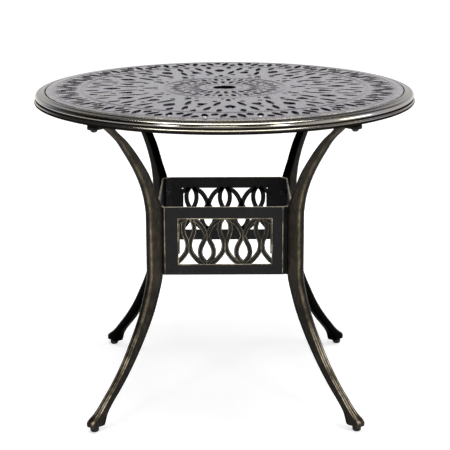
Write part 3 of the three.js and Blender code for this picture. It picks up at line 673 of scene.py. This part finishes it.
def dart(base, point, angle, width):
    """A three-cornered opening on one radius, with its base at the first radius."""
    foot = polar(base, angle)
    side = polar(width / 2, angle + math.pi / 2)
    return eased([foot - side, polar(point, angle), foot + side], [0.3, 0.3, 0.3], 7)


def dot(radius, angle, across, along):
    """An oval opening with the given size across and along its radius."""
    t = np.linspace(0, 2 * np.pi, 14, endpoint=False)
    local = np.stack([along / 2 * np.cos(t), across / 2 * np.sin(t)], axis=-1)
    turn_cosine, turn_sine = math.cos(angle), math.sin(angle)
    return polar(radius, angle) + local @ np.array([[turn_cosine, turn_sine], [-turn_sine, turn_cosine]])


# From the hub outwards: petals round the hole, motifs in the wide middle zone, and a close band outside.
# The whole pattern is turned by a small share of a full turn.
turn_share = 0.0075
openings = []
for i in range(petals):
    axis = (turn_share + i / petals) * 2 * math.pi
    openings.append(leaf((60, axis), (86, axis), 7.5))
    openings.append(leaf((102, axis + half_petal), (132, axis + half_petal), 8.5))
    openings.append(dot(95.5, axis, 5, 6))
    openings.append(dot(118, axis, 4.4, 9))
for i in range(motifs):
    axis = (turn_share + i / motifs) * 2 * math.pi
    openings.append(leaf((166, axis), (194, axis), 9.5))
    openings.append(leaf((245.5, axis), (288.5, axis), 23, 0.53))
    openings.append(dart(227.5, 261.5, axis + half_motif, 24))
    openings.append(dart(325.5, 304.5, axis + half_motif, 14))
    openings.append(dot(271, axis + half_motif, 7, 9))
    for side in (-1, 1):
        twin = axis + side * half_motif * 0.32
        inner_slant = (axis + side * half_motif * 0.36, axis + side * half_motif * 0.53)
        outer_slant = (axis + side * half_motif * 0.62, axis + side * half_motif * 0.73)
        openings.append(leaf((297, twin), (330, twin), 11.5))
        openings.append(leaf((203, inner_slant[0]), (262, inner_slant[1]), 9.5))
        openings.append(leaf((268, outer_slant[0]), (322, outer_slant[1]), 10))
        openings.append(dot(199, axis + side * math.radians(9), 8, 10))
        openings.append(dot(164, axis + side * math.radians(4.4), 5, 7))
for i in range(band_units):
    axis = (turn_share + i / band_units) * 2 * math.pi
    openings.append(leaf((348.5, axis), (376, axis), 15))
    openings.append(leaf((375, axis + half_unit), (402.5, axis + half_unit), 15))
    for side in (-1, 1):
        inner_tip, outer_tip = axis + side * half_unit * 0.66, axis + side * half_unit * 0.38
        openings.append(leaf((351, inner_tip), (401, outer_tip), 12.5))


def grown(outline, by):
    """An outline moved outwards by a distance, each point along the mean direction of its two sides."""
    run = np.roll(outline, -1, 0) - np.roll(outline, 1, 0)
    away = np.stack([run[:, 1], -run[:, 0]], axis=-1) / np.linalg.norm(run, axis=1)[:, None]
    after = np.roll(outline, -1, 0)
    area = (outline[:, 0] * after[:, 1] - after[:, 0] * outline[:, 1]).sum()
    return outline + away * by * np.sign(area)


# Every opening is a little wider all round here than in the plain solid
wider_by = 1.6
openings = [grown(outline, wider_by) for outline in openings]

# Rows of the lips: [distance outside the opening, height, wash and painted light]. The -0.6 rows paint a
# dark line of shade round the lip, and the -1 rows paint the wall black as shade
lip = [[1.5, web, 0], [1.35, web, -0.6], [1.1, web, -0.6], [0.9, 750.6, 0.2], [0.6, 750.75, 0.6],
       [0.3, 750.5, 0.1], [0.1, 749.8, -1], [0, underside, -1]]

# Raised rings: their inner and outer radii, and rows across each: [share of its width, height, wash and
# painted light]. The -0.9 rows paint the groove on each ring dark as shade
ring_beads = [(44, 46.6), (87.4, 89.4), (137.5, 139.7), (144.3, 146.6), (333.6, 335.4), (339.4, 341.4),
              (404.8, 406.6)]
bead_rows = [[0, web, 0], [0.05, web, -0.9], [0.25, web - 0.3, -0.9], [0.45, web, -0.9], [0.5, 750.7, 0.1],
             [0.75, 750.9, 0.3], [0.9, 750.6, 0.1], [0.95, web, 0], [1, web, 0]]

# Rows of the outer edge, and of the hole with the boss under it: [radius, height, wash and painted light].
# The -1 rows paint the hole's wall black as shade
edge_rows = [[disc_radius - 0.8, web, 0.2], [disc_radius - 0.25, web - 0.15, 0.6],
             [disc_radius, web - 0.7, 0.5], [disc_radius, underside + 0.4, 0],
             [disc_radius - 0.4, underside, 0]]
hole_rows = [[boss_radius, underside, 0], [boss_radius, 728.8, 0], [34.3, 728, 0], [28.7, 728, 0],
             [hole_radius, 728.7, -1], [hole_radius, 749.6, -1], [28.3, 750.6, 0.8], [28.7, 751, 1],
             [29, 750.8, 0.6], [hole_radius + 1.2, web, 0]]
circle_steps = 240
circle_angle = np.linspace(0, 2 * np.pi, circle_steps, endpoint=False)


def web_faces(loops):
    """Triangles between closed outlines of which the first is outermost, without those inside another one."""
    points = np.concatenate(loops)
    owner = np.repeat(np.arange(len(loops)), [len(loop) for loop in loops])
    first = np.cumsum([0] + [len(loop) for loop in loops])
    edges = [(int(a + k), int(a + (k + 1) % (b - a)))
             for a, b in zip(first[:-1], first[1:]) for k in range(b - a)]
    all_pieces, same_within = 0, 1e-6
    made = delaunay_2d_cdt([Vector(point) for point in points], edges, [], all_pieces, same_within)
    _, _, triangles, sources, _, _ = made
    origin = np.array([source[0] if source else -1 for source in sources])
    faces = origin[np.array(triangles)]
    whose = owner[faces]
    one_loop = (whose[:, 0] == whose[:, 1]) & (whose[:, 1] == whose[:, 2]) & (whose[:, 0] != 0)
    return points, faces[~one_loop & (faces >= 0).all(1)]


def circle_rows(rows):
    """Full circles, one for each [radius, height, wear] row."""
    return np.stack([np.column_stack([polar(radius, circle_angle), np.full(circle_steps, z)])
                     for radius, z, _ in rows])


lattice = Shape()
for outline in openings:
    rows = np.stack([np.column_stack([grown(outline, by), np.full(len(outline), z)]) for by, z, _ in lip])
    worn = np.repeat([w for _, _, w in lip], len(outline))
    lattice.add(rows, grid_faces(len(lip), len(outline), close_columns=True), worn)
zone_edges = [hole_radius + 1.2, *[radius for pair in ring_beads for radius in pair], disc_radius - 0.8]
mean_reach = [np.linalg.norm(outline, axis=1).mean() for outline in openings]
for inner, outer in zip(zone_edges[::2], zone_edges[1::2]):
    inside = [grown(outline, lip[0][0]) for outline, mean in zip(openings, mean_reach)
              if inner < mean < outer]
    points, faces = web_faces([polar(outer, circle_angle), polar(inner, circle_angle), *inside])
    lattice.add(np.column_stack([points, np.full(len(points), web)]), faces)
ring_rows = [[[inner + (outer - inner) * share, z, wear] for share, z, wear in bead_rows]
             for inner, outer in ring_beads]
for rows in (*ring_rows, edge_rows, hole_rows):
    worn = np.repeat([wear for _, _, wear in rows], circle_steps)
    lattice.add(circle_rows(rows), grid_faces(len(rows), circle_steps, close_columns=True), worn)
under_edges = [polar(disc_radius - 0.4, circle_angle), polar(boss_radius, circle_angle)]
points, faces = web_faces([*under_edges, *[grown(outline, 0) for outline in openings]])
lattice.add(np.column_stack([points, np.full(len(points), underside)]), faces)
lattice.piece("openwork_top", "table", top_bronze, "top_lattice", sharp=60)

# LEG BOLTS AND WASHERS
# Black-oxide button-head bolts go up through the pads into the rim's lugs, each over a plain washer.
# The oxide is a thin dark film on turned steel, so it stays half metallic, with a faint cloudy sheen.
black_oxide, output = new_material("black oxide on turned steel")
place = add_node(black_oxide, "ShaderNodeTexCoord").outputs["Object"]
fine = add_node(black_oxide, "ShaderNodeTexNoise", {"Scale": 500, "Detail": 3}, {"Vector": place})
dull = add_node(black_oxide, "ShaderNodeMapRange", {3: 0.28, 4: 0.46}, {0: fine.outputs[0]})
tint = add_node(black_oxide, "ShaderNodeMix", {"data_type": "RGBA", 6: linear("1c1c1d"), 7: linear("34322f")},
                {0: fine.outputs[0]})
shader = add_node(black_oxide, "ShaderNodeBsdfPrincipled", {"Metallic": 0.6},
                  {"Base Color": tint.outputs[2], "Roughness": dull.outputs[0]})
black_oxide.node_tree.links.new(shader.outputs[0], output.inputs[0])

bolt_steps = 40
button_profile = [[0, 697.7], [2.4, 697.7], [2.5, 697.75], [4.8, 698.2], [6.6, 699.4], [7.4, 701],
                  [7.5, 702.0], [7.2, 702.3], [4, 702.3], [4, 732.6], [3.4, 733.1], [0, 733.1]]
washer_profile = [[4.4, 702.6], [8.8, 702.6], [9, 702.8], [9, 704.0], [8.8, 704.2], [4.4, 704.2]]
for corner, turn in corners.items():
    place = at_corner(bolt_reach, turn)
    bolt = Shape()
    button = turned(button_profile, bolt_steps, place)
    bolt.add(button, grid_faces(bolt_steps, button.shape[1], close_rows=True))
    bolt.piece(f"button_bolt_{corner}", "table", black_oxide, f"leg_bolt_{corner}", slot="black_steel")
    washer = Shape()
    flat = turned(washer_profile, bolt_steps, place)
    washer.add(flat, grid_faces(bolt_steps, flat.shape[1], True, True))
    washer.piece(f"plain_washer_{corner}", "table", black_oxide, f"leg_washer_{corner}", slot="black_steel")

# SMALL FASTENERS
# Zinc-plated screws hold the lattice from below. Black bolts with zinc washers hold the panels to the legs.
# The foot bushes and the glides' studs are zinc-plated steel too: pale grey with a faint cloudy bloom.
zinc_plate, output = new_material("bright zinc plate on steel")
place = add_node(zinc_plate, "ShaderNodeTexCoord").outputs["Object"]
bloom = add_node(zinc_plate, "ShaderNodeTexNoise", {"Scale": 260, "Detail": 4}, {"Vector": place})
dull = add_node(zinc_plate, "ShaderNodeMapRange", {3: 0.26, 4: 0.44}, {0: bloom.outputs[0]})
tint = add_node(zinc_plate, "ShaderNodeMix", {"data_type": "RGBA", 6: linear("8f9193"), 7: linear("b4b5b2")},
                {0: bloom.outputs[0]})
shader = add_node(zinc_plate, "ShaderNodeBsdfPrincipled", {"Metallic": 0.9},
                  {"Base Color": tint.outputs[2], "Roughness": dull.outputs[0]})
zinc_plate.node_tree.links.new(shader.outputs[0], output.inputs[0])
for name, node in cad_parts.items():
    if name.startswith(("lattice_screw", "panel_washer", "foot_insert", "glide_stud")):
        node.data.materials.clear()
        node.data.materials.append(zinc_plate)
    if name.startswith("panel_bolt"):
        node.data.materials.clear()
        node.data.materials.append(black_oxide)

# STUDIO
# A white floor without an edge, which keeps a faint shadow under the table and glows whiter away from it.
# Five soft boxes light it, and the metal mirrors a white room that darkens forwards, upwards and leftwards.
floor_half = 20
floor_corners = [(-floor_half, -floor_half, 0), (floor_half, -floor_half, 0), (floor_half, floor_half, 0),
                 (-floor_half, floor_half, 0)]
floor_mesh = bpy.data.meshes.new("floor")
floor_mesh.from_pydata(floor_corners, [], [(0, 1, 2, 3)])
floor = bpy.data.objects.new("floor", floor_mesh)
bpy.context.scene.collection.objects.link(floor)

# The glow shows only to the camera and in reflections, and rises with the distance from the table
white_floor, output = new_material("white studio floor")
path = add_node(white_floor, "ShaderNodeLightPath")
seen = add_node(white_floor, "ShaderNodeMath", {"operation": "MAXIMUM"},
                {0: path.outputs["Is Camera Ray"], 1: path.outputs["Is Glossy Ray"]})
floor_place = add_node(white_floor, "ShaderNodeTexCoord").outputs["Object"]
from_middle = add_node(white_floor, "ShaderNodeVectorMath", {"operation": "LENGTH"}, {0: floor_place})
spread = add_node(white_floor, "ShaderNodeMapRange", {1: 0.7, 2: 1.8, 3: 0.56, 4: 0.95},
                  {0: from_middle.outputs["Value"]})
glow_strength = add_node(white_floor, "ShaderNodeMath", {"operation": "MULTIPLY"},
                         {0: seen.outputs[0], 1: spread.outputs[0]})
glow = add_node(white_floor, "ShaderNodeEmission", {"Color": (1, 1, 1, 1)},
                {"Strength": glow_strength.outputs[0]})
matte = add_node(white_floor, "ShaderNodeBsdfDiffuse", {"Color": (0.8, 0.8, 0.8, 1)})
both = add_node(white_floor, "ShaderNodeAddShader", {}, {0: matte.outputs[0], 1: glow.outputs[0]})
white_floor.node_tree.links.new(both.outputs[0], output.inputs[0])
floor_mesh.materials.append(white_floor)

world = bpy.data.worlds.new("studio")
world.use_nodes = True
world.node_tree.nodes.clear()
bpy.context.scene.world = world
output = add_node(world, "ShaderNodeOutputWorld")
path = add_node(world, "ShaderNodeLightPath")
direction = add_node(world, "ShaderNodeTexCoord").outputs["Generated"]
axes = add_node(world, "ShaderNodeSeparateXYZ", {}, {0: direction})


def fading(axis, start, end, from_value, to_value):
    """A smooth change of brightness with the direction along one axis, 0 for x, 1 for y and 2 for z."""
    settings = {1: start, 2: end, 3: from_value, 4: to_value, "interpolation_type": "SMOOTHSTEP"}
    return add_node(world, "ShaderNodeMapRange", settings, {0: axes.outputs[axis]}).outputs[0]


def joined(operation, first, second):
    """Two brightnesses multiplied, or the larger of them."""
    return add_node(world, "ShaderNodeMath", {"operation": operation}, {0: first, 1: second}).outputs[0]


front = fading(1, 0.45, -0.1, 1.0, 0.1)
ceiling = fading(2, 0.24, 0.5, 1.0, 0.06)
left = fading(0, -0.55, -0.85, 1.0, 0.2)
right = fading(0, 0.5, 0.8, 0.0, 0.9)
room = joined("MULTIPLY", joined("MULTIPLY", front, ceiling), left)
strength = joined("MAXIMUM", joined("MAXIMUM", room, path.outputs["Is Camera Ray"]), right)
background = add_node(world, "ShaderNodeBackground", {"Color": (1, 1, 1, 1)}, {"Strength": strength})
world.node_tree.links.new(background.outputs[0], output.inputs[0])


def soft_box(name, place, aim_height, width, depth, power):
    """A rectangular lamp at a place in metres, turned to face the table's axis at a height, in watts."""
    data = bpy.data.lights.new(name, "AREA")
    data.shape = "RECTANGLE"
    data.size, data.size_y, data.energy = width, depth, power
    lamp = bpy.data.objects.new(name, data)
    lamp.location = place
    lamp.rotation_euler = (Vector((0, 0, aim_height)) - Vector(place)).to_track_quat("-Z", "Y").to_euler()
    bpy.context.scene.collection.objects.link(lamp)


soft_box("overhead box", (0.0, -0.3, 3.0), 0.6, 2.4, 1.2, 80)
soft_box("left box", (-2.0, -3.3, 1.5), 0.4, 0.5, 1.8, 30)
soft_box("right box", (2.0, -3.3, 1.5), 0.4, 0.5, 1.8, 30)
soft_box("side box", (3.0, -0.6, 1.3), 0.7, 1.2, 0.9, 25)
soft_box("front box", (-0.2, -4.2, 2.4), 0.7, 1.6, 0.5, 17)

bpy.context.scene.view_settings.view_transform = "Standard"
